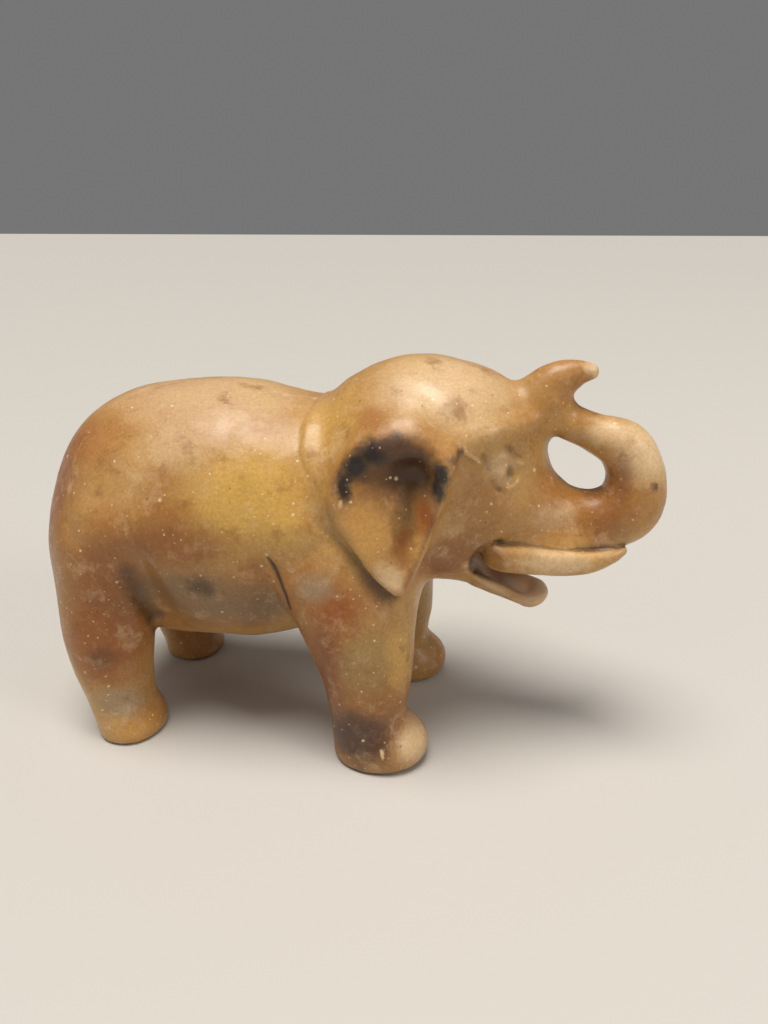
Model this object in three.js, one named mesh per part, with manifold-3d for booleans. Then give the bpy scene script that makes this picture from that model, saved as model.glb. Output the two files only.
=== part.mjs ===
// A soapstone elephant carved from one piece, standing on four feet with its trunk curled up to its forehead.
// Millimetres, +Z up. The head points along +X, and the origin is on the ground under the middle.
import * as THREE from "three";
import { mergeVertices } from "three/addons/utils/BufferGeometryUtils.js";
import Module from "manifold-3d";

// Rounded masses of the body and head: centre and radii
const RUMP = { centre: [-36.4, 0, 42.4], radii: [23, 22.6, 25.4] };
const BARREL = { centre: [-21, 0, 43.2], radii: [29, 23.8, 26.5] };
const CHEST = { centre: [0, 0, 44], radii: [19, 20.5, 22.3] };
const DOME = { centre: [15.5, 0, 54], radii: [23, 19.5, 21.3] };
const BROW = { centre: [25, 0, 57], radii: [13, 12.8, 15.3] };

// Legs of one side, as oval sections from the top to below the ground: z, x, y, half length, half width
const FORELEG = [
  [47, 1, 9, 15, 11.5], [38, 1.2, 11.4, 15.2, 11.4], [28, 4.85, 14.2, 11.75, 9.7], [17, 7.3, 15.7, 9, 8.4],
  [9, 7.6, 16, 7.6, 7.5], [2, 8.6, 16.2, 7.7, 7.7], [-4, 8.6, 16.2, 7.7, 7.7],
];
const HINDLEG = [
  [47, -40, 10.5, 13, 13], [36, -42.2, 11.8, 12.4, 12.4], [25, -44.7, 14.8, 9.8, 9.8],
  [14, -44.7, 15.8, 8, 8.2], [7, -43.5, 16.2, 6.7, 7.4], [2, -42.1, 16.4, 6.6, 7.4],
  [-4, -41.9, 16.4, 6.6, 7.4],
];
const LEG_TOP = 46;
const FORE_TOES = { centre: [12.2, 16.3, 3.2], radii: [7.4, 8, 5.6] };
const HIND_TOES = { centre: [-40.6, 16.4, 1.4], radii: [5, 6.8, 5] };

// Hollows of the flank in front of the thigh and behind the foreleg, as stations: x, y, z, radius
const FLANK_HOLLOWS = [
  [[-35.4, 25.7, 38.5, 3.6], [-34, 23.1, 31, 4.2], [-33, 20.4, 25, 4.2]],
  [[-9.6, 25.6, 41, 3.2], [-9.2, 23.9, 36, 3.6], [-8.9, 22, 30, 3.8]],
];

// Round limbs, as stations along their middle line: x, y, z, radius
const TRUNK = [
  [26, 0, 50, 13], [34, 0, 47.8, 9], [41, 0, 45.8, 6.5], [48, 0, 45.3, 6], [53.6, 0, 47.9, 6.4],
  [54.7, 0, 54, 5.6], [52.2, 0, 59.3, 5], [47, 0, 61.8, 3.9], [42, 0, 63.8, 3.6], [38, 0, 66.4, 4.3],
];
const TRUNK_TIP = [
  [38, 0, 66.4, 4.3], [37.8, 0, 69.2, 4.4], [39.9, 0, 71.3, 3.6], [43, 0, 72.6, 2.4], [45.1, 0, 72.9, 1.7],
];
const TRUNK_WEB = { centre: [35.6, 0, 65.8], radii: [5.2, 5.2, 6.4] };
const MUZZLE = [[29, 5.5, 41.8, 4.2], [42, 4.6, 41.8, 3.6], [50.5, 3.2, 42.8, 2.4]];
const JAW = [[20, 0, 42, 10.5], [28, 0, 35.8, 6], [36.9, 0, 30.4, 4.1]];
const JAW_WIDENING = 1.3;
const TAIL = [
  [-55, 0, 52, 2.2], [-57.6, 0, 44, 2.5], [-57.5, 0, 36, 2.3], [-55, 0, 28.5, 2.2], [-52.2, 0, 23.5, 2.6],
  [-49.6, 0, 20, 1.8],
];

// Mouth: the recess round the root of the tusk, the spoon-shaped hollow of the lower lip, wider in y,
// and the rounded rim of that hollow
const MOUTH = [
  [30.9, 10.5, 42.6, 0.8], [28.9, 10.9, 41.5, 1.3], [27.9, 10.6, 39.3, 1.8], [28.6, 8.8, 36.7, 2.1],
  [31.6, 6.6, 35, 2.1],
];
const LIP_BOWL = [[28, 0, 39, 3], [33.1, 0, 35.9, 4], [36.7, 0, 33.7, 3.7], [41, 0, 35.1, 3.6]];
const LIP_BOWL_WIDENING = 2.4;
const LIP_RIM = [
  [27, 7.4, 35, 0.8], [29, 6.4, 33.8, 1.1], [31.5, 5.5, 32.3, 1.3], [34.5, 4.7, 30.3, 1.3],
  [37.3, 4, 29.7, 1.3], [38.5, 2.4, 29.8, 1.3], [38.9, 0, 29.9, 1.3],
];

// Tusk: its stations, and the flat cuts of its outer side and its root: a point and the way each faces
const TUSK = [
  [30, 9.6, 40.4, 3], [38, 8.6, 39.5, 2.8], [46, 7.2, 39.3, 2.5], [50.6, 5.8, 40.2, 1.9],
  [53.2, 4.8, 41.2, 1.2],
];
const TUSK_SIDE = { point: [38.4, 10.75, 39.5], facing: [0.203, 0.979, 0] };
const TUSK_ROOT = { point: [32.4, 12, 40], facing: [-0.5, 0.83, -0.25] };

// Flat cheek, and the brow ridge that ends it above
const CHEEK = { point: [29.7, 12.5, 63.3], facing: [0.585, 0.8, -0.13] };
const BROW_RIDGE = [[23.5, 14.6, 62.4, 2], [29.2, 10.6, 64, 2.1], [34.6, 5, 64.2, 1.9]];

// Ear: a leaf where three discs in the x, z plane overlap, between two depths in y
const EAR_REAR_DISC = { x: 25.6, z: 56, radius: 22.8 };
const EAR_FRONT_DISC = { x: -66, z: 78, radius: 91.4 };
const EAR_TOP_DISC = { x: 14, z: 49, radius: 16.8 };
const EAR_FACE = 23.3;
const EAR_THICKNESS = 12;
const EAR_LEAN_HEIGHT = 50;
const EAR_TIP_FLARE = 0.1;
const EAR_TOP_LEAN = 0.019;
const EAR_HOLLOWS = [
  [[9.6, 30.2, 55.8, 9], [13, 28.8, 43, 4.6]],
  [[16.1, 21.9, 57.2, 4.1], [16.6, 24.4, 50, 4.2], [15.6, 26, 41.5, 2.6]],
];

// Widths of the fillets where masses meet, and of the rounding where they are cut
const BODY_FILLET = 6;
const LEG_TOP_ROUNDING = 8;
const TOE_FILLET = 3;
const FLANK_ROUNDING = 4;
const BROW_FILLET = 3;
const CHEEK_ROUNDING = 2;
const RIDGE_FILLET = 3;
const TIP_FILLET = 1.8;
const WEB_FILLET = 1.5;
const MUZZLE_FILLET = 2;
const FACE_FILLET = 2.5;
const NECK_FILLET = 2;
const EAR_CORNER_ROUNDING = 6;
const EAR_TIP_ROUNDING = 1.6;
const EAR_RIM_ROUNDING = 3;
const EAR_HOLLOW_ROUNDING = 2;
const MOUTH_ROUNDING = 1.5;
const LIP_ROUNDING = 3;
const RIM_FILLET = 1.5;
const TUSK_ROUNDING = 0.8;
const TUSK_FILLET = 1.2;
const TAIL_FILLET = 1.2;

// Fillets that widen away from a crease: least and greatest width, and where they widen along x and z
const SHOULDER_FILLET = { least: 1.6, greatest: 8, x: [-5, 5], z: [40, 49] };
const HIP_FILLET = { least: 1.6, greatest: 8, x: [-40, -50], z: [36, 50] };
const EAR_FILLET = { least: 1.6, greatest: 7, x: [24, 15], z: [43, 55] };

// The lattice on which the surface is worked out
const LATTICE_BOX = [[-63, 63], [-27.3, 27.3], [-4.6, 78]];
const LATTICE_SPACING = 1.25;
const LATTICE_MARGIN = 0.02;
const SOLE_MARGIN = 3;
const GROUND = { length: 160, width: 80, depth: 20 };
const MIDDLE_STEPS = 8;
const FAR = 4;
const TINY = 1e-9;

// The six paths that split a cube of the lattice: first axis, second axis, and whether that turns right
const CUBE_PATHS = [[0, 1, true], [0, 2, false], [1, 0, false], [1, 2, true], [2, 0, true], [2, 1, false]];
const EVEN_ORDERS = [
  [0, 1, 2, 3], [0, 2, 3, 1], [0, 3, 1, 2], [1, 0, 3, 2], [1, 2, 0, 3], [1, 3, 2, 0],
  [2, 0, 1, 3], [2, 1, 3, 0], [2, 3, 0, 1], [3, 0, 2, 1], [3, 1, 0, 2], [3, 2, 1, 0],
];

// How the facets are evened out and thinned out
const EVENING_ROUNDS = 4;
const SETTLING_ROUNDS = 3;
const SLOPE_REACH = 0.05;
const LEAST_SLOPE = 0.1;
const LONGEST_MOVE = 0.5;
const MOST_TRIANGLES = 9600;
const SLIVER_WEIGHT = 0.02;
const LENGTH_WEIGHT = 2e-4;
const LEAST_AREA = 1e-3;
const FOLD_LIMIT = 0.3;
const QUADRIC_SIZE = 10;

const soapstone = new THREE.MeshStandardMaterial({ color: 0xb98a4e, roughness: 0.42, metalness: 0 });

// 0 at the first value, 1 at the second, and smooth between
function ease(value, first, second) {
  const t = THREE.MathUtils.clamp((value - first) / (second - first), 0, 1);
  return t * t * (3 - 2 * t);
}

// Union of two distances with a fillet about as wide as the softness
function blend(a, b, softness) {
  const overlap = Math.max(softness - Math.abs(a - b), 0) / softness;
  return Math.min(a, b) - (overlap * overlap * softness) / 4;
}

// The part of a that is inside b too, with a rounded edge
function trim(a, b, softness) {
  return -blend(-a, -b, softness);
}

// What is left of a when b is carved out of it
function carve(a, b, softness) {
  return trim(a, -b, softness);
}

// Rows joined by a Catmull-Rom curve through every column
function smoothRows(rows, steps) {
  const last = rows.length - 1;
  const smooth = [];
  for (let span = 0; span < last; span += 1) {
    const rowAt = (k) => rows[THREE.MathUtils.clamp(k, 0, last)];
    const [before, from, to, after] = [span - 1, span, span + 1, span + 2].map(rowAt);
    for (let step = 0; step < steps; step += 1) {
      const t = step / steps;
      smooth.push(from.map((value, column) => {
        const slope = (to[column] - before[column]) / 2;
        const nextSlope = (after[column] - value) / 2;
        const rise = to[column] - value;
        const bend = 3 * rise - 2 * slope - nextSlope + t * (slope + nextSlope - 2 * rise);
        return value + t * (slope + t * bend);
      }));
    }
  }
  smooth.push(rows[last]);
  return smooth;
}

function ellipsoid(x, y, z, { centre, radii }) {
  const [u, v, w] = [x - centre[0], y - centre[1], z - centre[2]];
  const scaled = Math.hypot(u / radii[0], v / radii[1], w / radii[2]);
  const steepness = Math.hypot(u / radii[0] ** 2, v / radii[1] ** 2, w / radii[2] ** 2);
  return (scaled * (scaled - 1)) / Math.max(steepness, TINY);
}

function flatCut({ point, facing }) {
  const normal = new THREE.Vector3(...facing).normalize();
  return new THREE.Plane().setFromNormalAndCoplanarPoint(normal, new THREE.Vector3(...point));
}

// A limb through round stations, each smoothed into steps; widening stretches its sections in y
function limb(rows, steps = 1, widening = 1) {
  const stations = smoothRows(rows, steps).map(([x, y, z, radius]) => [x, y / widening, z, radius]);
  const box = new THREE.Box3();
  for (const [x, y, z, radius] of stations) {
    box.expandByPoint(new THREE.Vector3(x - radius, y - radius, z - radius));
    box.expandByPoint(new THREE.Vector3(x + radius, y + radius, z + radius));
  }
  return (x, y, z) => {
    const v = y / widening;
    const outside = box.distanceToPoint(new THREE.Vector3(x, v, z));
    if (outside > FAR) {
      return outside;
    }
    let nearest = Infinity;
    for (let i = 0; i + 1 < stations.length; i += 1) {
      const [ax, ay, az, ra] = stations[i];
      const [bx, by, bz, rb] = stations[i + 1];
      const [dx, dy, dz] = [bx - ax, by - ay, bz - az];
      const [px, py, pz] = [x - ax, v - ay, z - az];
      const along = (px * dx + py * dy + pz * dz) / (dx * dx + dy * dy + dz * dz);
      const t = THREE.MathUtils.clamp(along, 0, 1);
      const gap = Math.hypot(px - t * dx, py - t * dy, pz - t * dz) - (ra + (rb - ra) * t);
      nearest = Math.min(nearest, gap);
    }
    return nearest;
  };
}

// A leg: oval sections stacked up z, rounded off inside the body
function leg(x, y, z, sections) {
  let i = 0;
  while (i + 2 < sections.length && sections[i + 1][0] > z) {
    i += 1;
  }
  const [upper, lower] = [sections[i], sections[i + 1]];
  const t = THREE.MathUtils.clamp((upper[0] - z) / (upper[0] - lower[0]), 0, 1);
  const [, cx, cy, a, b] = upper.map((value, column) => THREE.MathUtils.lerp(value, lower[column], t));
  const [u, v] = [x - cx, y - cy];
  const scaled = Math.hypot(u / a, v / b);
  const steepness = Math.hypot(u / a ** 2, v / b ** 2);
  const column = (scaled * (scaled - 1)) / Math.max(steepness, TINY);
  return trim(column, z - LEG_TOP, LEG_TOP_ROUNDING);
}

const trunk = limb(TRUNK, MIDDLE_STEPS);
const trunkTip = limb(TRUNK_TIP, MIDDLE_STEPS);
const muzzle = limb(MUZZLE);
const jaw = limb(JAW, 1, JAW_WIDENING);
const tail = limb(TAIL, MIDDLE_STEPS);
const mouth = limb(MOUTH, MIDDLE_STEPS);
const lipBowl = limb(LIP_BOWL, MIDDLE_STEPS, LIP_BOWL_WIDENING);
const lipRim = limb(LIP_RIM, MIDDLE_STEPS);
const tuskBar = limb(TUSK, MIDDLE_STEPS);
const tuskSide = flatCut(TUSK_SIDE);
const tuskRoot = flatCut(TUSK_ROOT);
const cheek = flatCut(CHEEK);
const browRidge = limb(BROW_RIDGE, MIDDLE_STEPS);
const earHollows = EAR_HOLLOWS.map((hollow) => limb(hollow, MIDDLE_STEPS));
const flankHollows = FLANK_HOLLOWS.map((hollow) => limb(hollow, MIDDLE_STEPS));
const forelegSections = smoothRows(FORELEG, MIDDLE_STEPS);
const hindlegSections = smoothRows(HINDLEG, MIDDLE_STEPS);

function body(x, y, z) {
  const quarters = blend(ellipsoid(x, y, z, RUMP), ellipsoid(x, y, z, BARREL), BODY_FILLET);
  const whole = blend(quarters, ellipsoid(x, y, z, CHEST), BODY_FILLET);
  return flankHollows.reduce((left, hollow) => carve(left, hollow(x, y, z), FLANK_ROUNDING), whole);
}

function head(x, y, z) {
  const round = blend(ellipsoid(x, y, z, DOME), ellipsoid(x, y, z, BROW), BROW_FILLET);
  const flat = trim(round, cheek.distanceToPoint(new THREE.Vector3(x, y, z)), CHEEK_ROUNDING);
  const skull = blend(flat, browRidge(x, y, z), RIDGE_FILLET);
  const curl = blend(trunk(x, y, z), trunkTip(x, y, z), TIP_FILLET);
  const rooted = blend(curl, ellipsoid(x, y, z, TRUNK_WEB), WEB_FILLET);
  const snout = blend(rooted, muzzle(x, y, z), MUZZLE_FILLET);
  return blend(blend(skull, snout, FACE_FILLET), jaw(x, y, z), FACE_FILLET);
}

function ear(x, y, z) {
  const discs = [EAR_REAR_DISC, EAR_TOP_DISC, EAR_FRONT_DISC];
  const [rear, top, front] = discs.map((disc) => Math.hypot(x - disc.x, z - disc.z) - disc.radius);
  const outline = trim(trim(rear, top, EAR_CORNER_ROUNDING), front, EAR_TIP_ROUNDING);
  const below = Math.max(EAR_LEAN_HEIGHT - z, 0);
  const above = Math.max(z - EAR_LEAN_HEIGHT, 0);
  const face = EAR_FACE + EAR_TIP_FLARE * below - EAR_TOP_LEAN * above ** 2;
  const half = EAR_THICKNESS / 2;
  return trim(outline, Math.abs(y - face + half) - half, EAR_RIM_ROUNDING);
}

function tusk(x, y, z) {
  const place = new THREE.Vector3(x, y, z);
  const flat = trim(tuskBar(x, y, z), tuskSide.distanceToPoint(place), TUSK_ROUNDING);
  return trim(flat, tuskRoot.distanceToPoint(place), TUSK_ROUNDING);
}

function legFillet({ least, greatest, ...ranges }, x, z) {
  const share = Math.max(ease(x, ...ranges.x), ease(z, ...ranges.z));
  return THREE.MathUtils.lerp(least, greatest, share);
}

// Distance to the surface of the whole figure, negative inside the stone
function elephant(x, side, z) {
  const y = Math.abs(side);
  const foreleg = blend(leg(x, y, z, forelegSections), ellipsoid(x, y, z, FORE_TOES), TOE_FILLET);
  const hindleg = blend(leg(x, y, z, hindlegSections), ellipsoid(x, y, z, HIND_TOES), TOE_FILLET);
  const earShare = ease(x, ...EAR_FILLET.x) * ease(z, ...EAR_FILLET.z);
  const earFillet = THREE.MathUtils.lerp(EAR_FILLET.least, EAR_FILLET.greatest, earShare);
  let stone = blend(body(x, y, z), foreleg, legFillet(SHOULDER_FILLET, x, z));
  stone = blend(stone, hindleg, legFillet(HIP_FILLET, x, z));
  stone = blend(stone, head(x, y, z), NECK_FILLET);
  stone = blend(stone, ear(x, y, z), earFillet);
  for (const hollow of earHollows) {
    stone = carve(stone, hollow(x, y, z), EAR_HOLLOW_ROUNDING);
  }
  stone = carve(stone, mouth(x, y, z), MOUTH_ROUNDING);
  stone = carve(stone, lipBowl(x, y, z), LIP_ROUNDING);
  stone = blend(stone, lipRim(x, y, z), RIM_FILLET);
  stone = blend(stone, tusk(x, y, z), TUSK_FILLET);
  stone = blend(stone, tail(x, y, z), TAIL_FILLET);
  return Math.max(stone, -SOLE_MARGIN - z);
}

// The lattice lines along one axis
function latticeLines([from, to]) {
  const count = Math.ceil((to - from) / LATTICE_SPACING);
  return Array.from({ length: count + 1 }, (_, i) => from + i * LATTICE_SPACING);
}

// The closed surface where the distance is zero, from the six tetrahedra of each cube of the lattice
function polygonise(distance, [xs, ys, zs]) {
  const strides = [ys.length * zs.length, zs.length, 1];
  const values = new Float64Array(xs.length * strides[0]);
  const place = (index) => {
    const [i, j, k] = [0, 1, 2].map((axis) => Math.floor(index / strides[axis]) % [xs, ys, zs][axis].length);
    return new THREE.Vector3(xs[i], ys[j], zs[k]);
  };
  let next = 0;
  for (const x of xs) {
    for (const y of ys) {
      for (const z of zs) {
        values[next] = distance(x, y, z);
        next += 1;
      }
    }
  }

  const corners = [];
  const triangles = [];
  const cornerOfEdge = new Map();
  function cornerBetween(inner, outer) {
    const key = inner * values.length + outer;
    if (!cornerOfEdge.has(key)) {
      cornerOfEdge.set(key, corners.length);
      const share = values[inner] / (values[inner] - values[outer]);
      const kept = THREE.MathUtils.clamp(share, LATTICE_MARGIN, 1 - LATTICE_MARGIN);
      corners.push(place(inner).lerp(place(outer), kept));
    }
    return cornerOfEdge.get(key);
  }

  function cutTetrahedron(nodes) {
    const inside = nodes.map((node) => values[node] < 0);
    const count = inside.filter(Boolean).length;
    if (count % 4 === 0) {
      return;
    }
    const sorts = (order) => order.every((node, rank) => inside[node] === rank < count);
    const [a, b, c, d] = EVEN_ORDERS.find(sorts).map((node) => nodes[node]);
    if (count === 1) {
      triangles.push([cornerBetween(a, b), cornerBetween(a, c), cornerBetween(a, d)]);
    } else if (count === 3) {
      triangles.push([cornerBetween(a, d), cornerBetween(b, d), cornerBetween(c, d)]);
    } else {
      const [ac, ad, bd, bc] = [[a, c], [a, d], [b, d], [b, c]].map(([from, to]) => cornerBetween(from, to));
      triangles.push([ac, ad, bd], [ac, bd, bc]);
    }
  }

  for (let i = 0; i + 1 < xs.length; i += 1) {
    for (let j = 0; j + 1 < ys.length; j += 1) {
      for (let k = 0; k + 1 < zs.length; k += 1) {
        const first = i * strides[0] + j * strides[1] + k;
        const last = first + strides[0] + strides[1] + strides[2];
        for (const [one, two, positive] of CUBE_PATHS) {
          const middle = first + strides[one];
          const nodes = [first, middle, middle + strides[two], last];
          cutTetrahedron(positive ? nodes : [nodes[1], nodes[0], nodes[2], nodes[3]]);
        }
      }
    }
  }
  return { corners, triangles };
}

// Across the front of a triangle, as long as twice its area
function triangleNormal(a, b, c) {
  return new THREE.Vector3().subVectors(b, a).cross(new THREE.Vector3().subVectors(c, a));
}

// Squared distance to a plane, as the upper half of a symmetric matrix of four rows
function planeQuadric(normal, offset, weight) {
  const row = [normal.x, normal.y, normal.z, offset];
  const quadric = [];
  for (let i = 0; i < row.length; i += 1) {
    for (let j = i; j < row.length; j += 1) {
      quadric.push(weight * row[i] * row[j]);
    }
  }
  return quadric;
}

function addQuadrics(one, two) {
  return one.map((value, i) => value + two[i]);
}

function quadricError(q, { x, y, z }) {
  const squares = q[0] * x * x + q[4] * y * y + q[7] * z * z + q[9];
  return squares + 2 * (q[1] * x * y + q[2] * x * z + q[3] * x + q[5] * y * z + q[6] * y + q[8] * z);
}

// A heap that gives back the item of least cost first
class CheapestFirst {
  constructor() {
    this.items = [];
  }

  push(item) {
    const items = this.items;
    let at = items.push(item) - 1;
    while (at > 0 && items[(at - 1) >> 1].cost > item.cost) {
      items[at] = items[(at - 1) >> 1];
      at = (at - 1) >> 1;
    }
    items[at] = item;
  }

  pop() {
    const items = this.items;
    const cheapest = items[0];
    const last = items.pop();
    let at = 0;
    while (2 * at + 1 < items.length) {
      const [left, right] = [2 * at + 1, 2 * at + 2];
      const child = right < items.length && items[right].cost < items[left].cost ? right : left;
      if (items[child].cost >= last.cost) {
        break;
      }
      items[at] = items[child];
      at = child;
    }
    if (items.length > 0) {
      items[at] = last;
    }
    return cheapest;
  }
}

// The corners and triangles that are still in use, numbered again
function withoutUnused(corners, faces) {
  const number = new Map();
  const keptCorners = [];
  const triangles = faces.map((face) => face.map((corner) => {
    if (!number.has(corner)) {
      number.set(corner, keptCorners.length);
      keptCorners.push(corners[corner]);
    }
    return number.get(corner);
  }));
  return { corners: keptCorners, triangles };
}

// Joins corners, the flattest places first, until few enough triangles are left
function thin({ corners, triangles }, most) {
  const facesAt = corners.map(() => new Set());
  const quadrics = corners.map(() => new Array(QUADRIC_SIZE).fill(0));
  const version = new Int32Array(corners.length);
  const faces = triangles.map((face) => [...face]);
  const edges = new CheapestFirst();
  let left = faces.length;

  faces.forEach((face, f) => {
    const normal = triangleNormal(...face.map((corner) => corners[corner]));
    const weight = normal.length() / 2 + SLIVER_WEIGHT;
    normal.normalize();
    const quadric = planeQuadric(normal, -normal.dot(corners[face[0]]), weight);
    for (const corner of face) {
      facesAt[corner].add(f);
      quadrics[corner] = addQuadrics(quadrics[corner], quadric);
    }
  });

  function neighbours(corner) {
    return new Set([...facesAt[corner]].flatMap((f) => faces[f]).filter((other) => other !== corner));
  }

  function propose(a, b) {
    const quadric = addQuadrics(quadrics[a], quadrics[b]);
    const spots = [corners[a], corners[b], corners[a].clone().lerp(corners[b], 0.5)];
    const errors = spots.map((spot) => quadricError(quadric, spot));
    const best = errors.indexOf(Math.min(...errors));
    const cost = Math.max(errors[best], 0) + LENGTH_WEIGHT * corners[a].distanceToSquared(corners[b]);
    edges.push({ cost, a, b, spot: spots[best].clone(), versions: [version[a], version[b]] });
  }

  function staysUnfolded(f, moved, spot) {
    const before = triangleNormal(...faces[f].map((corner) => corners[corner]));
    const after = triangleNormal(...faces[f].map((corner) => (corner === moved ? spot : corners[corner])));
    return after.length() > LEAST_AREA && before.normalize().dot(after.normalize()) > FOLD_LIMIT;
  }

  function allowed({ a, b, spot }) {
    const around = neighbours(b);
    const shared = [...neighbours(a)].filter((corner) => around.has(corner));
    return shared.length === 2 && [[a, b], [b, a]].every(([moved, other]) => (
      [...facesAt[moved]].every((f) => faces[f].includes(other) || staysUnfolded(f, moved, spot))
    ));
  }

  function join({ a, b, spot }) {
    corners[a].copy(spot);
    quadrics[a] = addQuadrics(quadrics[a], quadrics[b]);
    for (const f of facesAt[b]) {
      if (faces[f].includes(a)) {
        faces[f].forEach((corner) => facesAt[corner].delete(f));
        faces[f] = null;
        left -= 1;
      } else {
        faces[f] = faces[f].map((corner) => (corner === b ? a : corner));
        facesAt[a].add(f);
      }
    }
    facesAt[b].clear();
    version[b] = -1;
    version[a] += 1;
    neighbours(a).forEach((corner) => propose(a, corner));
  }

  facesAt.forEach((_, a) => neighbours(a).forEach((b) => a < b && propose(a, b)));
  while (left > most && edges.items.length > 0) {
    const edge = edges.pop();
    const current = version[edge.a] === edge.versions[0] && version[edge.b] === edge.versions[1];
    if (current && allowed(edge)) {
      join(edge);
    }
  }
  return withoutUnused(corners, faces.filter(Boolean));
}

// Evens out the facets: each corner moves halfway to the middle of its neighbours
function relax({ corners, triangles }) {
  const sums = corners.map(() => new THREE.Vector3());
  const counts = new Int32Array(corners.length);
  for (const face of triangles) {
    for (const corner of face) {
      face.filter((other) => other !== corner).forEach((other) => sums[corner].add(corners[other]));
      counts[corner] += 2;
    }
  }
  corners.forEach((corner, i) => corner.lerp(sums[i].divideScalar(counts[i]), 0.5));
}

// How the distance rises along x, y and z
function slopeOf(distance, { x, y, z }) {
  const r = SLOPE_REACH;
  return new THREE.Vector3(
    distance(x + r, y, z) - distance(x - r, y, z),
    distance(x, y + r, z) - distance(x, y - r, z),
    distance(x, y, z + r) - distance(x, y, z - r),
  ).divideScalar(2 * r);
}

// Moves each corner along the slope until it lies on the surface, unless a triangle would turn over
function settle({ corners, triangles }, distance, rounds) {
  for (let round = 0; round < rounds; round += 1) {
    const moved = corners.map((corner) => {
      const slope = slopeOf(distance, corner);
      const excess = distance(...corner.toArray()) / Math.max(slope.lengthSq(), LEAST_SLOPE);
      return slope.multiplyScalar(-excess).clampLength(0, LONGEST_MOVE).add(corner);
    });
    const turned = new Set();
    for (const face of triangles) {
      const [before, after] = [corners, moved].map((places) => triangleNormal(...face.map((i) => places[i])));
      if (before.normalize().dot(after.normalize()) < FOLD_LIMIT) {
        face.forEach((corner) => turned.add(corner));
      }
    }
    corners.forEach((corner, i) => !turned.has(i) && corner.copy(moved[i]));
  }
}

const wasm = await Module();
wasm.setup();

function solid(positions, indices) {
  return new wasm.Manifold(new wasm.Mesh({
    numProp: 3,
    vertProperties: Float32Array.from(positions),
    triVerts: Uint32Array.from(indices),
  }));
}

// The ground as a block, to cut the four soles flat
function ground() {
  const { length, width, depth } = GROUND;
  const block = new THREE.BoxGeometry(length, width, depth).translate(0, 0, -depth / 2);
  block.deleteAttribute("normal");
  block.deleteAttribute("uv");
  const joined = mergeVertices(block);
  return solid(joined.attributes.position.array, joined.index.array);
}

function carvedElephant() {
  const fine = polygonise(elephant, LATTICE_BOX.map(latticeLines));
  for (let round = 0; round < EVENING_ROUNDS; round += 1) {
    relax(fine);
    settle(fine, elephant, 1);
  }
  const surface = thin(fine, MOST_TRIANGLES);
  settle(surface, elephant, SETTLING_ROUNDS);
  const stone = solid(surface.corners.flatMap((corner) => corner.toArray()), surface.triangles.flat());
  const { vertProperties, triVerts } = stone.subtract(ground()).getMesh();
  const geometry = new THREE.BufferGeometry();
  geometry.setAttribute("position", new THREE.BufferAttribute(vertProperties, 3));
  geometry.setIndex(new THREE.BufferAttribute(triVerts, 1));
  geometry.computeVertexNormals();
  return geometry;
}

const elephantMesh = new THREE.Mesh(carvedElephant(), soapstone);
elephantMesh.name = "elephant";

const group = new THREE.Group();
group.add(elephantMesh);
export default group;
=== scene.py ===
"""Soapstone elephant: the carved stone at its full fineness, its material and a plain studio around it.

Sizes are in millimetres, as in the part's source, and become metres when the mesh and the studio are made.
The head points along +X, +Z is up, and the camera looks at the -Y side. The two sides mirror each other,
so the shapes below are given for the side with y from 0 up.
"""

import bpy
import numpy as np
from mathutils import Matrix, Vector


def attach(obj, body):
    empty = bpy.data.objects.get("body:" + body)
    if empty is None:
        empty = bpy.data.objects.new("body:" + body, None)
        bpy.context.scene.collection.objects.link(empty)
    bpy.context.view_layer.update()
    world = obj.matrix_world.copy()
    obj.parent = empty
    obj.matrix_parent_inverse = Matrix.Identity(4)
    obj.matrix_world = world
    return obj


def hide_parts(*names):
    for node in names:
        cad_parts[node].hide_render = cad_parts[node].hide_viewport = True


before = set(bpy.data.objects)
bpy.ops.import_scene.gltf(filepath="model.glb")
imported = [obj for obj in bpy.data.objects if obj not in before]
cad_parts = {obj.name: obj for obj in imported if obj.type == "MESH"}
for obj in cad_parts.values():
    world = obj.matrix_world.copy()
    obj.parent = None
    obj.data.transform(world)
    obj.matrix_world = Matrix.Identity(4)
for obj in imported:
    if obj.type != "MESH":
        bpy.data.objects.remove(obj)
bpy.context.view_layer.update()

MM = 0.001
TINY = 1e-9

# Rounded masses of the body and head: centre and radii
RUMP = ((-36.4, 0, 42.4), (23, 22.6, 25.4))
BARREL = ((-21, 0, 43.2), (29, 23.8, 26.5))
CHEST = ((0, 0, 44), (19, 20.5, 22.3))
DOME = ((15.5, 0, 54), (23, 19.5, 21.3))
BROW = ((25, 0, 57), (13, 12.8, 15.3))

# Legs, as oval sections from the shoulder or hip to below the ground: z, x, y, half length, half width
FORELEG = [
    (47, 1, 9, 15, 11.5), (38, 1.2, 11.4, 15.2, 11.4), (28, 4.85, 14.2, 11.75, 9.7),
    (17, 7.3, 15.7, 9, 8.4), (9, 7.6, 16, 7.6, 7.5), (2, 8.6, 16.2, 7.7, 7.7),
    (-4, 8.6, 16.2, 7.7, 7.7),
]
HINDLEG = [
    (47, -40, 10.5, 13, 13), (36, -42.2, 11.8, 12.4, 12.4), (25, -44.7, 14.8, 9.8, 9.8),
    (14, -44.7, 15.8, 8, 8.2), (7, -43.5, 16.2, 6.7, 7.4), (2, -42.1, 16.4, 6.6, 7.4),
    (-4, -41.9, 16.4, 6.6, 7.4),
]
LEG_TOP = 46
FORE_TOES = ((12.2, 16.3, 3.2), (7.4, 8, 5.6))
HIND_TOES = ((-40.6, 16.4, 1.4), (5, 6.8, 5))

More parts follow.
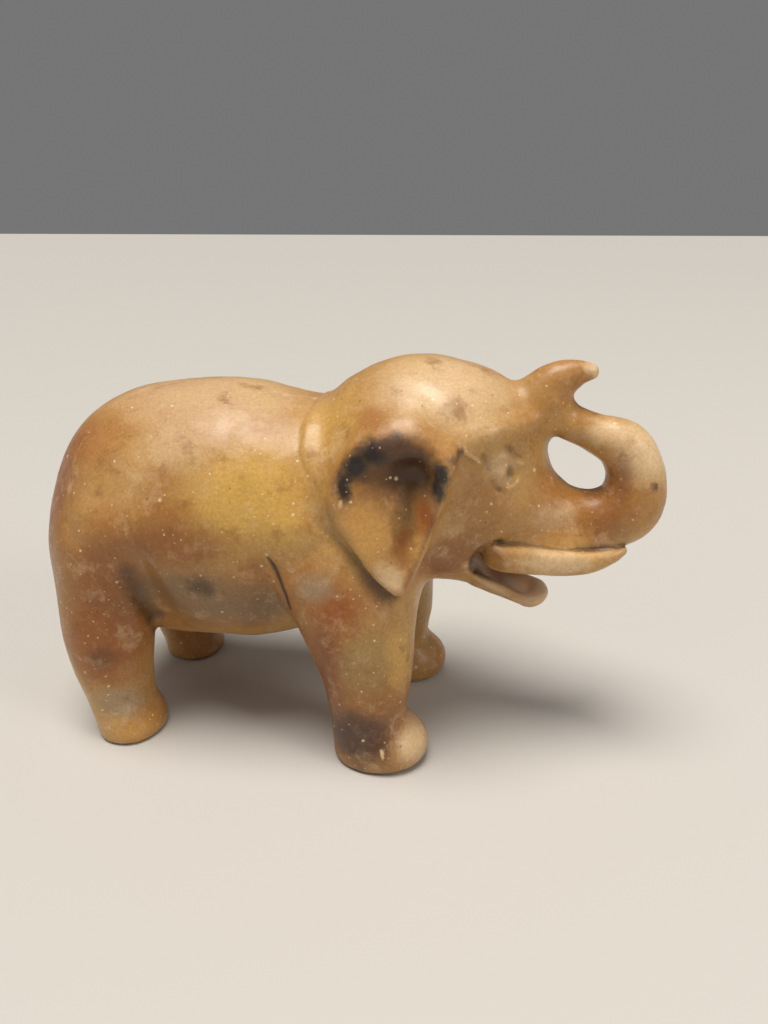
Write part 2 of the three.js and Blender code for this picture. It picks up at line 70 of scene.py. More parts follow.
# Round limbs, as stations along their middle line: x, y, z, radius
TRUNK = [
    (26, 0, 50, 13), (34, 0, 47.8, 9), (41, 0, 45.8, 6.5), (48, 0, 45.3, 6), (53.6, 0, 47.9, 6.4),
    (54.7, 0, 54, 5.6), (52.2, 0, 59.3, 5), (47, 0, 61.8, 3.9), (42, 0, 63.8, 3.6), (38, 0, 66.4, 4.3),
]
TRUNK_TIP = [
    (38, 0, 66.4, 4.3), (37.8, 0, 69.2, 4.4), (39.9, 0, 71.3, 3.6), (43, 0, 72.6, 2.4),
    (45.1, 0, 72.9, 1.7),
]
TRUNK_WEB = ((35.6, 0, 65.8), (5.2, 5.2, 6.4))
MUZZLE = [(29, 5.5, 41.8, 4.2), (42, 4.6, 41.8, 3.6), (50.5, 3.2, 42.8, 2.4)]
JAW = [(20, 0, 42, 10.5), (28, 0, 35.8, 6), (36.9, 0, 30.4, 4.1)]
JAW_WIDENING = 1.3
TUSK = [
    (30, 9.6, 40.4, 3), (38, 8.6, 39.5, 2.8), (46, 7.2, 39.3, 2.5), (50.6, 5.8, 40.2, 1.9),
    (53.2, 4.8, 41.2, 1.2),
]
TAIL = [
    (-55, 0, 52, 2.2), (-57.6, 0, 44, 2.5), (-57.5, 0, 36, 2.3), (-55, 0, 28.5, 2.2), (-52.2, 0, 23.5, 2.6),
    (-49.6, 0, 20, 1.8),
]

# Collar where the head stands proud of the neck: how far, the heights it rises over, and its disc in x, z
COLLAR_PROUD = 0.4
COLLAR_RISE = (54, 63)
COLLAR_DISC = (4.7, 63.5, 9.3)

# Ear: a leaf where three discs in the x, z plane overlap, between two depths in y
EAR_DISCS = [(25.6, 56, 22.8), (-66, 78, 91.4), (14, 49, 16.8)]
EAR_FACE = 23.3
EAR_THICKNESS = 12
EAR_LEAN_HEIGHT = 50
EAR_TIP_FLARE = 0.1
EAR_TOP_LEAN = 0.019
EAR_HOLLOWS = [
    [(9.6, 30.2, 55.8, 9), (13, 28.8, 43, 4.6)],
    [(16.1, 21.9, 57.2, 4.1), (16.6, 24.4, 50, 4.2), (15.6, 26, 41.5, 2.6)],
]

# Flat cheek under each brow, and the flat outer side and slanting root of the tusk: a point and the facing
CHEEK = ((29.7, 12.5, 63.3), (0.585, 0.8, -0.13))
TUSK_SIDE = ((38.4, 10.75, 39.5), (0.203, 0.979, 0))
TUSK_ROOT = ((32.4, 12, 40), (-0.5, 0.83, -0.25))
BROW_RIDGE = [(23.5, 14.6, 62.4, 2), (29.2, 10.6, 64, 2.1), (34.6, 5, 64.2, 1.9)]

# Eye: low swellings for the lid and the ball, and thin ridges, of which the first joins the eye to the ear
EYE_LID = ((29.3, 9.75, 60), (2.7, 2.4, 1.6))
EYE_BALL = ((29.4, 9.95, 57.1), (2.4, 2.2, 1.7))
EYE_RIDGES = [
    [(24.7, 16.5, 61.6, 0.5), (26.3, 14.6, 60.1, 0.5), (28.1, 12.7, 58.4, 0.3)],
    [(33.1, 9.2, 58.7, 0.3), (33.7, 8.7, 58.2, 0.45), (34.3, 8.2, 57.8, 0.3)],
    [(31.5, 10.9, 53.6, 0.3), (32.4, 10.3, 54.2, 0.45), (33.4, 9.5, 54.8, 0.3)],
]

# Hollows of the flank in front of the thigh and behind the foreleg, as stations: x, y, z, radius
FLANK_HOLLOWS = [
    [(-35.4, 25.7, 38.5, 3.6), (-34, 23.1, 31, 4.2), (-33, 20.4, 25, 4.2)],
    [(-9.6, 25.6, 41, 3.2), (-9.2, 23.9, 36, 3.6), (-8.9, 22, 30, 3.8)],
]

# Mouth: the recess round the root of the tusk, the spoon-shaped hollow of the lower lip, wider in y,
# and the rounded rim of that hollow
MOUTH = [
    (30.9, 10.5, 42.6, 0.8), (28.9, 10.9, 41.5, 1.3), (27.9, 10.6, 39.3, 1.8), (28.6, 8.8, 36.7, 2.1),
    (31.6, 6.6, 35, 2.1),
]
LIP_BOWL = [(28, 0, 39, 3), (33.1, 0, 35.9, 4), (36.7, 0, 33.7, 3.7), (41, 0, 35.1, 3.6)]
LIP_BOWL_WIDENING = 2.4
LIP_RIM = [
    (27, 7.4, 35, 0.8), (29, 6.4, 33.8, 1.1), (31.5, 5.5, 32.3, 1.3), (34.5, 4.7, 30.3, 1.3),
    (37.3, 4, 29.7, 1.3), (38.5, 2.4, 29.8, 1.3), (38.9, 0, 29.9, 1.3),
]

# Grooves cut into the surface, which their stations are moved onto: x, y, z, radius, depth
LID_GROOVE = [(31.4, 11, 61.4, 0.8, 0.15), (32.5, 10.1, 60.6, 1, 0.55), (33.9, 8.8, 59.1, 0.9, 0.2)]
EYE_CORNER = [(27.8, 13.2, 60.2, 0.8, 0.15), (28, 12.9, 58.9, 1, 0.45), (28.6, 12.4, 57.6, 0.8, 0.15)]
EYE_PIT = [(32.3, 10, 57.9, 0.8, 0.2), (32.5, 10, 56.6, 1.1, 0.7), (32.2, 10.4, 55.3, 0.8, 0.2)]
CHEEK_PIT = [(29.5, 12, 55, 0.8, 0.15), (30.5, 11.6, 54, 0.9, 0.4), (31.3, 11.3, 53.6, 0.8, 0.1)]
THIGH_CREASE = [
    (-35.9, 22.6, 37.4, 0.9, 0.15), (-35.2, 21.9, 34.4, 1.4, 0.5), (-34.5, 20.2, 30, 1.7, 0.7),
    (-34.5, 16.8, 25.4, 1.6, 0.5),
]
FORELEG_CREASE = [
    (-9.2, 21.1, 41.7, 0.5, 0.1), (-8.6, 20.7, 40.2, 0.7, 0.4), (-7.9, 20.6, 38.3, 0.7, 0.5),
    (-7.3, 20.8, 36.4, 0.7, 0.5), (-6.6, 20.8, 34.3, 0.7, 0.5), (-6.3, 19.9, 31.2, 0.7, 0.4),
]
GROOVES = [LID_GROOVE, EYE_CORNER, EYE_PIT, CHEEK_PIT, THIGH_CREASE, FORELEG_CREASE]

# Widths of the fillets and rounded edges
BODY_FILLET = 6
LEG_TOP_ROUNDING = 8
TOE_FILLET = 3
FLANK_ROUNDING = 4
BROW_FILLET = 3
CHEEK_ROUNDING = 2.5
RIDGE_FILLET = 2
WEB_FILLET = 1.5
TIP_FILLET = 1.8
MUZZLE_FILLET = 2
FACE_FILLET = 2.5
COLLAR_ROUNDING = 0.5
COLLAR_FILLET = 2
EAR_CORNER_ROUNDING = 6
EAR_TIP_ROUNDING = 1.6
EAR_RIM_ROUNDING = 3
EAR_HOLLOW_ROUNDING = 3.2
EYE_FILLET = 0.9
GROOVE_ROUNDING = 0.8
MOUTH_ROUNDING = 1
LIP_ROUNDING = 2
RIM_FILLET = 1.2
TUSK_SIDE_ROUNDING = 0.8
TUSK_ROOT_ROUNDING = 0.6
TUSK_FILLET = 0.5
TAIL_FILLET = 0.8

# Fillets that widen away from a crease: least and greatest width, and where they widen along x and z
SHOULDER_FILLET = {"least": 1, "greatest": 8, "x": (-5, 5), "z": (40, 49)}
HIP_FILLET = {"least": 1.2, "greatest": 8, "x": (-40, -50), "z": (36, 50)}
EAR_FILLET = {"least": 1, "greatest": 7, "x": (24, 15), "z": (43, 55)}
NECK_FILLET = {"least": 0.8, "greatest": 2.5, "z": (54, 46)}

# Steps between the stations of a limb, and how far from a limb its distance is worked out in full
MIDDLE_STEPS = 8
FAR = 4

# The fine mesh: the box it is made in, its lattice cells, and how its corners settle on the surface
LATTICE_BOX = ((-63, -27, -1.8), (63, 27, 78))
CELL = 0.62
BLOCK = 4
CHUNK = 60000
REACH = 0.05
SETTLING_ROUNDS = 3
SEATING_ROUNDS = 12
LEAST_SLOPE = 0.05
LONGEST_MOVE = 0.3
SOLE_EDGE = 1.4

# Hand-worked unevenness of the surface: wavelength, depth and seed; and how its plane waves are mixed
UNEVENNESS = [(17, 0.35, 3), (5, 0.1, 5), (2.2, 0.035, 8)]
WAVE_COUNT = 28
WAVE_SPREAD = (0.7, 1.5)
WAVE_MIDDLE = 0.5
WAVE_SHARE = 0.35

# How far round a corner its hollowness and its edges are felt
HOLLOW_REACH = 3.5
EDGE_REACH = 1.1


def ease(value, low, high):
    """0 at low and before it, 1 at high and past it, and smooth between."""
    t = np.clip((value - low) / (high - low), 0, 1)
    return t * t * (3 - 2 * t)


def widened(fillet, share):
    return fillet["least"] + (fillet["greatest"] - fillet["least"]) * share


def blend(a, b, softness):
    """Union of two distances with a fillet about as wide as the softness."""
    overlap = np.maximum(softness - np.abs(a - b), 0) / softness
    return np.minimum(a, b) - overlap * overlap * softness / 4


def trim(a, b, softness):
    """The part of a that is inside b too, with a rounded edge."""
    return -blend(-a, -b, softness)


def carve(a, b, softness):
    """What is left of a when b is carved out of it."""
    return trim(a, -b, softness)


def smooth_rows(rows, steps):
    """Rows joined by a Catmull-Rom curve through every column."""
    rows = np.array(rows, float)
    last = len(rows) - 1
    smooth = []
    for span in range(last):
        before, start, end, after = (rows[min(max(span + k, 0), last)] for k in (-1, 0, 1, 2))
        slope = (end - before) / 2
        next_slope = (after - start) / 2
        rise = end - start
        for step in range(steps):
            t = step / steps
            bend = 3 * rise - 2 * slope - next_slope + t * (slope + next_slope - 2 * rise)
            smooth.append(start + t * (slope + t * bend))
    smooth.append(rows[last])
    return np.array(smooth)


def oval_distance(offset, radii):
    """Distance to an oval or an ellipsoid, true near its surface."""
    scaled = np.linalg.norm(offset / radii, axis=-1)
    steepness = np.linalg.norm(offset / radii ** 2, axis=-1)
    return scaled * (scaled - 1) / np.maximum(steepness, TINY)


def ellipsoid(p, mass):
    centre, radii = np.array(mass, float)
    return oval_distance(p - centre, radii)


def limb(p, rows, steps=1, widening=1):
    """A limb through round stations, each smoothed into steps; widening stretches its sections in y."""
    shrink = np.array([1, 1 / widening, 1])
    stations = smooth_rows(rows, steps)
    middles = stations[:, :3] * shrink
    radii = stations[:, 3]
    q = p * shrink
    low = middles.min(0) - radii.max() - FAR
    high = middles.max(0) + radii.max() + FAR
    near = ((q > low) & (q < high)).all(-1)
    distance = np.maximum(np.maximum(low - q, q - high).max(-1), 0) + FAR
    close = q[near]
    nearest = np.full(len(close), np.inf)
    for start, end, r0, r1 in zip(middles[:-1], middles[1:], radii[:-1], radii[1:]):
        along = end - start
        offset = close - start
        t = np.clip(offset @ along / (along @ along), 0, 1)
        gap = np.linalg.norm(offset - t[:, None] * along, axis=-1)
        nearest = np.minimum(nearest, gap - (r0 + (r1 - r0) * t))
    distance[near] = nearest
    return distance


def disc(x, z, row):
    """Distance to a disc in the x, z plane, given as the x and z of its centre and its radius."""
    return np.hypot(x - row[0], z - row[1]) - row[2]


def plane(p, cut):
    """Height over the plane through a point, along the way it faces."""
    point, facing = np.array(cut, float)
    return (p - point) @ (facing / np.linalg.norm(facing))


def leg(p, sections):
    """A leg: oval sections stacked up z, rounded off inside the body."""
    rising = smooth_rows(sections, MIDDLE_STEPS)[::-1]
    z = p[:, 2]
    x, y, half_length, half_width = (np.interp(z, rising[:, 0], rising[:, k]) for k in (1, 2, 3, 4))
    offset = np.column_stack([p[:, 0] - x, p[:, 1] - y])
    radii = np.column_stack([half_length, half_width])
    return trim(oval_distance(offset, radii), z - LEG_TOP, LEG_TOP_ROUNDING)


def body(p):
    quarters = blend(ellipsoid(p, RUMP), ellipsoid(p, BARREL), BODY_FILLET)
    return blend(quarters, ellipsoid(p, CHEST), BODY_FILLET)


def head(p):
    dome = blend(ellipsoid(p, DOME), ellipsoid(p, BROW), BROW_FILLET)
    skull = trim(dome, plane(p, CHEEK), CHEEK_ROUNDING)
    skull = blend(skull, limb(p, BROW_RIDGE, MIDDLE_STEPS), RIDGE_FILLET)
    trunk = blend(limb(p, TRUNK, MIDDLE_STEPS), limb(p, TRUNK_TIP, MIDDLE_STEPS), TIP_FILLET)
    trunk = blend(trunk, ellipsoid(p, TRUNK_WEB), WEB_FILLET)
    snout = blend(trunk, limb(p, MUZZLE), MUZZLE_FILLET)
    face = blend(skull, snout, FACE_FILLET)
    return blend(face, limb(p, JAW, 1, JAW_WIDENING), FACE_FILLET)


def ear(p):
    x, y, z = p.T
    rear, front, top = (disc(x, z, row) for row in EAR_DISCS)
    outline = trim(trim(rear, top, EAR_CORNER_ROUNDING), front, EAR_TIP_ROUNDING)
    below = np.maximum(EAR_LEAN_HEIGHT - z, 0)
    above = np.maximum(z - EAR_LEAN_HEIGHT, 0)
    face = EAR_FACE + EAR_TIP_FLARE * below - EAR_TOP_LEAN * above ** 2
    slab = np.abs(y - face + EAR_THICKNESS / 2) - EAR_THICKNESS / 2
    return trim(outline, slab, EAR_RIM_ROUNDING)


def tusk(p):
    bar = trim(limb(p, TUSK, MIDDLE_STEPS), plane(p, TUSK_SIDE), TUSK_SIDE_ROUNDING)
    return trim(bar, plane(p, TUSK_ROOT), TUSK_ROOT_ROUNDING)


def rounded_figure(p):
    """Body, legs, head, ears and eyes, before the grooves, the mouth, the tusks and the tail."""
    x, _, z = p.T
    foreleg = blend(leg(p, FORELEG), ellipsoid(p, FORE_TOES), TOE_FILLET)
    hindleg = blend(leg(p, HINDLEG), ellipsoid(p, HIND_TOES), TOE_FILLET)
    barrel = body(p)
    stone = barrel
    for hollow in FLANK_HOLLOWS:
        stone = carve(stone, limb(p, hollow, MIDDLE_STEPS), FLANK_ROUNDING)
    shoulder = np.maximum(ease(x, *SHOULDER_FILLET["x"]), ease(z, *SHOULDER_FILLET["z"]))
    stone = blend(stone, foreleg, widened(SHOULDER_FILLET, shoulder))
    hip = np.maximum(ease(x, *HIP_FILLET["x"]), ease(z, *HIP_FILLET["z"]))
    stone = blend(stone, hindleg, widened(HIP_FILLET, hip))
    collar = barrel - COLLAR_PROUD * ease(z, *COLLAR_RISE)
    collar = trim(collar, disc(x, z, COLLAR_DISC), COLLAR_ROUNDING)
    neck = ease(z, *NECK_FILLET["z"])
    stone = blend(stone, blend(head(p), collar, COLLAR_FILLET), widened(NECK_FILLET, neck))
    ear_root = ease(x, *EAR_FILLET["x"]) * ease(z, *EAR_FILLET["z"])
    stone = blend(stone, ear(p), widened(EAR_FILLET, ear_root))
    for hollow in EAR_HOLLOWS:
        stone = carve(stone, limb(p, hollow, MIDDLE_STEPS), EAR_HOLLOW_ROUNDING)
    for swelling in (EYE_LID, EYE_BALL):
        stone = blend(stone, ellipsoid(p, swelling), EYE_FILLET)
    for ridge in EYE_RIDGES:
        stone = blend(stone, limb(p, ridge, MIDDLE_STEPS), EYE_FILLET)
    return stone


def slopes(distance, points):
    """The way out of the stone at each point, not scaled to length 1."""
    sides = REACH * np.eye(3)
    return np.stack([distance(points + side) - distance(points - side) for side in sides], -1) / (2 * REACH)


def outward(distance, points):
    slope = slopes(distance, points)
    return slope / np.maximum(np.linalg.norm(slope, axis=1, keepdims=True), TINY)


def settle(distance, points, rounds):
    """Moves the points onto the surface."""
    for _ in range(rounds):
        slope = slopes(distance, points)
        move = -slope * (distance(points) / np.maximum((slope ** 2).sum(1), LEAST_SLOPE))[:, None]
        length = np.linalg.norm(move, axis=1, keepdims=True)
        points = points + move * np.minimum(1, LONGEST_MOVE / np.maximum(length, TINY))
    return points


def seated(groove):
    """The stations of a groove, moved so that each one cuts into the surface by its depth."""
    rows = np.array(groove, float)
    points = settle(rounded_figure, rows[:, :3], SEATING_ROUNDS)
    rise = rows[:, 3] - rows[:, 4]
    return np.column_stack([points + rise[:, None] * outward(rounded_figure, points), rows[:, 3]])


SEATED_GROOVES = [seated(groove) for groove in GROOVES]


def elephant(points):
    """Distance to the surface of the whole figure, negative inside the stone."""
    p = np.column_stack([points[:, 0], np.abs(points[:, 1]), points[:, 2]])
    stone = rounded_figure(p)
    for groove in SEATED_GROOVES:
        stone = carve(stone, limb(p, groove, MIDDLE_STEPS), GROOVE_ROUNDING)
    stone = carve(stone, limb(p, MOUTH, MIDDLE_STEPS), MOUTH_ROUNDING)
    stone = carve(stone, limb(p, LIP_BOWL, MIDDLE_STEPS, LIP_BOWL_WIDENING), LIP_ROUNDING)
    stone = blend(stone, limb(p, LIP_RIM, MIDDLE_STEPS), RIM_FILLET)
    stone = blend(stone, tusk(p), TUSK_FILLET)
    return blend(stone, limb(p, TAIL, MIDDLE_STEPS), TAIL_FILLET)


def waves(points, wavelength, seed):
    """Smooth unevenness about 0: plane waves in all directions, of about one wavelength."""
    random = np.random.default_rng(seed)
    directions = random.normal(size=(WAVE_COUNT, 3))
    directions /= np.linalg.norm(directions, axis=1, keepdims=True)
    lengths = wavelength * random.uniform(*WAVE_SPREAD, WAVE_COUNT)
    phases = random.uniform(0, 2 * np.pi, WAVE_COUNT)
    total = np.zeros(len(points))
    for direction, length, phase in zip(directions, lengths, phases):
        total += np.sin(points @ direction * (2 * np.pi / length) + phase)
    return total / np.sqrt(WAVE_COUNT)


def carved_stone(points):
    """The figure with its hand-worked unevenness, which only takes stone away, and the flat soles."""
    stone = elephant(points)
    for wavelength, depth, seed in UNEVENNESS:
        stone += depth * (WAVE_MIDDLE + WAVE_SHARE * waves(points, wavelength, seed))
    return trim(stone, -points[:, 2], SOLE_EDGE)


def lattice_values(distance, low, high):
    """The distance on a lattice: worked out near the surface, and one value for each block elsewhere."""
    span = CELL * BLOCK
    blocks = np.ceil((high - low) / span).astype(int)
    rows = [low[axis] + span * (np.arange(blocks[axis]) + 0.5) for axis in range(3)]
    middles = np.stack(np.meshgrid(*rows, indexing="ij"), -1)
    rough = distance(middles.reshape(-1, 3)).reshape(blocks)

    def spread(values):
        for axis in range(3):
            values = np.repeat(values, BLOCK, axis)
        return np.pad(values, ((0, 1),) * 3, mode="edge")

    values = spread(rough)
    near = spread(np.abs(rough) < span)
    for axis in range(3):
        near = near | np.roll(near, 1, axis)
    nodes = np.argwhere(near)
    parts = np.array_split(nodes, len(nodes) // CHUNK + 1)
    values[tuple(nodes.T)] = np.concatenate([distance(low + CELL * part) for part in parts])
    return values


def surface_net(values, low):
    """One corner in each lattice cell the surface passes, and one quad round each edge it cuts."""
    inside = values < 0
    cells = np.array(values.shape) - 1
    sums = np.zeros((*cells, 3))
    counts = np.zeros(cells)
    quads = []
    steps = np.eye(3, dtype=int)
    for axis in range(3):
        edges = np.argwhere(np.diff(inside, axis=axis))
        step, one, two = (steps[(axis + k) % 3] for k in range(3))
        first = values[tuple(edges.T)]
        second = values[tuple((edges + step).T)]
        crossing = edges + (first / (first - second))[:, None] * step
        ring = [edges - shift for shift in (0 * one, one, one + two, two)]
        for cell in ring:
            np.add.at(sums, tuple(cell.T), crossing)
            np.add.at(counts, tuple(cell.T), 1)
        quad = np.stack(ring, 1)
        inward = first > 0
        quad[inward] = quad[inward][:, ::-1]
        quads.append(quad)
    used = counts > 0
    number = np.full(cells, -1)
    number[used] = np.arange(used.sum())
    corners = sums[used] / counts[used][:, None] * CELL + low
    return corners, number[tuple(np.moveaxis(np.concatenate(quads), -1, 0))]


def stone_object():
    """The carved stone as a mesh, with how hollow and how edged each corner is for the material."""
    low, high = np.array(LATTICE_BOX, float)
    corners, quads = surface_net(lattice_values(carved_stone, low, high), low)
    corners = settle(carved_stone, corners, SETTLING_ROUNDS)
    corners[:, 2] = np.maximum(corners[:, 2], 0)
    above = corners + HOLLOW_REACH * outward(carved_stone, corners)
    hollow = 1 - elephant(above) / HOLLOW_REACH
    sides = EDGE_REACH * np.concatenate([np.eye(3), -np.eye(3)])
    edged = sum(elephant(corners + side) - elephant(corners) for side in sides) / EDGE_REACH

    mesh = bpy.data.meshes.new("elephant_stone")
    mesh.from_pydata((corners * MM).tolist(), [], quads.tolist())
    for name, values in (("hollow", hollow), ("edged", edged)):
        mesh.attributes.new(name, "FLOAT", "POINT").data.foreach_set("value", values.astype(np.float32))
    mesh.shade_smooth()
    mesh.update()
    piece = bpy.data.objects.new("elephant_stone", mesh)
    bpy.context.scene.collection.objects.link(piece)
    return piece


def colour(red, green, blue):
    return (red, green, blue, 1.0)


# Colours of the stone and its stains, and the dark of its grime and painted shade
HONEY = colour(0.50, 0.29, 0.095)
OCHRE = colour(0.38, 0.17, 0.042)
CREAM = colour(0.70, 0.50, 0.29)
PEARL = colour(0.92, 0.82, 0.68)
YELLOW = colour(0.60, 0.36, 0.085)
RUSSET = colour(0.23, 0.075, 0.016)
RUST = colour(0.31, 0.09, 0.014)
AMBER = colour(0.56, 0.30, 0.085)
OLIVE = colour(0.33, 0.21, 0.07)
GREY = colour(0.34, 0.25, 0.15)
DRAB = colour(0.20, 0.125, 0.06)
PLUM = colour(0.085, 0.042, 0.026)
UMBER = colour(0.042, 0.015, 0.005)
CHARCOAL = colour(0.014, 0.012, 0.012)
EARTH = colour(0.05, 0.021, 0.007)
FLECK = colour(0.85, 0.68, 0.44)

# Where the stone changes colour over broad patches: colour, middle, radii and strength. The dark patches low
# on the flank, belly, thigh and cheek are partly painted shade.
PATCHES = [
    # Partly painted shade: the lower flank darkened
    (RUSSET, (-30, -24, 26), (34, 12, 17), 0.6),
    (RUSSET, (8, -20, 14), (16, 12, 20), 0.4),
    (YELLOW, (-12, -21, 52), (14, 12, 12), 0.85),
    (CREAM, (-23, -8, 69), (24, 15, 8), 0.55),
    (CREAM, (-27, -18, 61), (8, 8, 5), 0.45),
    (YELLOW, (1, -12, 64), (8, 10, 9), 0.6),
    (CREAM, (21, -10, 72), (14, 14, 9), 0.75),
    (CREAM, (57, -3, 60), (7, 7, 7), 0.95),
    (RUSSET, (-54, -10, 46), (12, 22, 22), 0.9),
    (RUST, (-45, -14, 61), (8, 10, 6), 0.4),
    (RUSSET, (-25, -24, 44), (13, 9, 6), 0.6),
    # Partly painted shade: the thigh and the hind leg below it darkened
    (RUSSET, (-40, -24, 34), (9, 8, 12), 0.8),
    (RUST, (-43, -24, 21), (9, 8, 9), 0.7),
    # Partly painted shade: the belly darkened
    (DRAB, (-23, -20, 33), (15, 9, 7), 0.8),
    (RUSSET, (27, -13, 51), (8, 8, 9), 0.45),
    # Partly painted shade: the lower cheek darkened
    (RUSSET, (23, -14, 41), (8, 8, 6), 0.8),
    (OCHRE, (44, -6, 48), (10, 7, 5), 0.5),
    (RUSSET, (50, -5, 47), (6, 6, 5), 0.5),
    # Partly painted shade: the belly darkened
    (DRAB, (-12, -18, 30), (8, 8, 5), 0.8),
    (GREY, (-40, -23, 9), (6, 6, 4), 0.8),
    (RUST, (3.5, -24, 33), (5, 6, 7), 0.9),
    (OLIVE, (9, -24, 24), (6, 6, 9), 0.8),
    (RUSSET, (1, -22, 20), (4, 8, 11), 0.9),
    (YELLOW, (15, -20, 24), (3.5, 6, 9), 0.6),
    (PLUM, (7, -22, 7), (8, 9, 7), 0.95),
]

# Marks with a place of their own: colour, middle, radii and strength
MARKS = [
    (GREY, (-0.5, -23, 37.3), (4, 5, 3.6), 0.7),
    (EARTH, (-21.7, -23, 36), (3.6, 4, 2.6), 0.7),
    (EARTH, (-42.5, -24, 19.6), (3.4, 4, 3.4), 0.45),
    (CREAM, (17.6, -20, 5.5), (4.2, 7, 5), 0.8),
    (AMBER, (-37, -22, 2), (5, 6, 3), 0.8),
    (PLUM, (6, -23, 8.4), (6, 8, 5), 0.7),
    (RUST, (8.6, -16.8, 66.4), (4, 5, 2), 0.45),
    (CREAM, (31, -11.5, 58), (3.4, 4, 3.4), 0.55),
    (CREAM, (40, -7, 48), (5, 5, 3), 0.4),
    # Painted light: paler amber on the ear's lit rear plane
    (AMBER, (8.4, -23, 48), (5, 6, 6), 0.85),
    (AMBER, (18.4, -21, 45), (3, 6, 3.4), 0.6),
    (PLUM, (15.4, -19.5, 61.8), (5, 6, 3.4), 0.75),
    (UMBER, (12, -20.5, 58.6), (5.2, 6, 5), 0.75),
    (UMBER, (16.4, -18.5, 58.4), (4.8, 6, 6.4), 0.88),
    # Painted shade: these three marks darken the ear's front valley
    (UMBER, (15.4, -21, 51), (2.6, 5, 5.6), 0.65),
    (RUSSET, (15, -22.6, 46.4), (1.8, 5, 4), 0.6),
    (RUST, (18.6, -20.5, 51), (2.4, 5, 4), 0.97),
    (CREAM, (13, -24.5, 40.4), (3, 6, 3.4), 0.75),
    (CHARCOAL, (4.8, -22, 56.2), (2.4, 5, 3.4), 0.95),
    (CHARCOAL, (6.8, -21.6, 59.4), (3, 5, 3), 0.97),
    (CHARCOAL, (9.8, -21, 61.9), (3.4, 5, 2.4), 0.95),
    (PLUM, (13.2, -20.4, 63.6), (3.4, 5, 1.9), 0.9),
    (CHARCOAL, (21.1, -21, 58.8), (1.7, 6, 2.4), 0.97),
    (CHARCOAL, (20.8, -21, 55.8), (1.8, 6, 2.6), 0.97),
    (PLUM, (23.4, -18, 61.2), (1.6, 4, 1.2), 0.7),
    (PLUM, (57.6, -5, 53.4), (0.9, 2, 1.2), 0.8),
    (RUSSET, (51.5, -4.6, 54), (2.4, 4, 4.6), 0.6),
    (CREAM, (49, -3.5, 63), (5, 5, 3), 0.7),
    (AMBER, (40.6, -3.5, 63.6), (3, 4, 2.6), 0.6),
    # Painted highlight at the very tip of the trunk
    (CREAM, (45.4, -1.4, 73.6), (1.8, 3, 1.6), 0.85),
    (CREAM, (42.4, -10, 40), (11, 2.4, 3), 0.8),
    (CREAM, (31, -7, 33), (4, 5, 3), 0.5),
    (CREAM, (25.6, -11.4, 38.4), (1.5, 2, 1.5), 0.6),
    (GREY, (27, -11.6, 43), (1.2, 2, 1), 0.5),
    (CREAM, (12.2, -24.2, 5), (0.6, 2, 0.7), 0.9),
    (CREAM, (4.2, -22.6, 53), (0.6, 2, 0.8), 0.8),
]

# How far patches and marks stray from their ovals, the size of the noise that moves them, and their fading
PATCH_DRIFT = 7
PATCH_DRIFT_SIZE = 7
MARK_DRIFT = 4
MARK_DRIFT_SIZE = 3
DRIFT_ROUGHNESS = 0.65
NOISE_MIDDLE = (0.5, 0.5, 0.5)
SPOT_EDGE = (0.3, 1.25)

# Mottling between two tones: size, the range of the noise it starts and ends at, strength and tone
MOTTLES = [
    (4.5, (0.52, 0.72), 0.38, CREAM),
    (5.5, (0.54, 0.74), 0.55, RUSSET),
    (1.6, (0.54, 0.76), 0.18, CREAM),
    (1.9, (0.55, 0.78), 0.2, RUSSET),
]

# Broad clouds between the two ground colours, and the fine grain's size, range and lightness
CLOUD_SIZE = 18
CLOUD_RANGE = (0.36, 0.64)
GRAIN_SIZE = 0.55
GRAIN_RANGE = (0.25, 0.75)
GRAIN_TONES = (0.88, 1.12)

# Flecks and pits in the stone: colour, spacing, largest size in spacings, share left out, and strength
FLECKS = [
    (FLECK, 4.6, 0.1, 0.5, 0.8),
    (FLECK, 2.1, 0.14, 0.35, 0.7),
    (FLECK, 1.1, 0.17, 0.4, 0.5),
    (EARTH, 1.9, 0.14, 0.6, 0.45),
]
FLECK_EDGE = (-0.03, 0.07)
FLECK_DRIFT = 0.5
FLECK_DRIFT_SIZE = 0.7

# Painted shade, with some grime, in hollows; painted shade in grooves and pits; and paler stone on edges,
# partly wear and partly painted highlight: the range of the mesh's value, and strength
HOLLOW_SHADE_AND_GRIME = ((0.28, 0.95), 0.7)
GROOVE_SHADE = ((-0.3, -1.3), 0.6)
WORN_AND_LIT_EDGE = ((0.45, 1.4), 0.38)

# Paler places inside the lower lip, over the painted hollow shade: partly the lip's pale stone and partly
# painted light where light falls into it: colour, middle, radii and strength
LIP_PALE_AND_LIT = [
    (OCHRE, (31.5, 0, 33.4), (3.6, 6, 2.6), 0.65),
    (PEARL, (36.4, 0, 30.6), (4.8, 5.4, 2.8), 1.0),
]

# Painted shade, with some dirt, along the bottom of the creases: the crease, inner and outer half width, and
# strength
CREASE_SHADE_LINES = [
    (FORELEG_CREASE, (0.15, 0.5), 0.9),
    (THIGH_CREASE, (0.2, 3.2), 0.6),
]

# Polish, depth of light in the stone, scratches, and the height of the fine bumps
POLISH_SIZE = 5
POLISH_RANGE = (0.3, 0.7)
ROUGHNESS = (0.3, 0.48)
SUBSURFACE = 0.2
SUBSURFACE_RADIUS = (1.0, 0.45, 0.18)
SUBSURFACE_SCALE = 0.003
SPECULAR = 0.38
COAT = 0.12
COAT_ROUGHNESS = 0.2
SCRATCH_STRETCH = (0.25, 0.6, 1.6)
SCRATCH_SIZE = 0.8
SCRATCH_SHARE = 0.7
BUMP_STRENGTH = 0.25
BUMP_HEIGHT = 0.12
NOISE_DETAIL = 5
NOISE_ROUGHNESS = 0.6

# Turns a place to the other side of the figure
MIRROR = (1, -1, 1)

# Sockets of a colour mix node: share, first and second colour, and the mixed colour
MIX_INPUTS = (0, 6, 7)
MIX_OUTPUT = 2


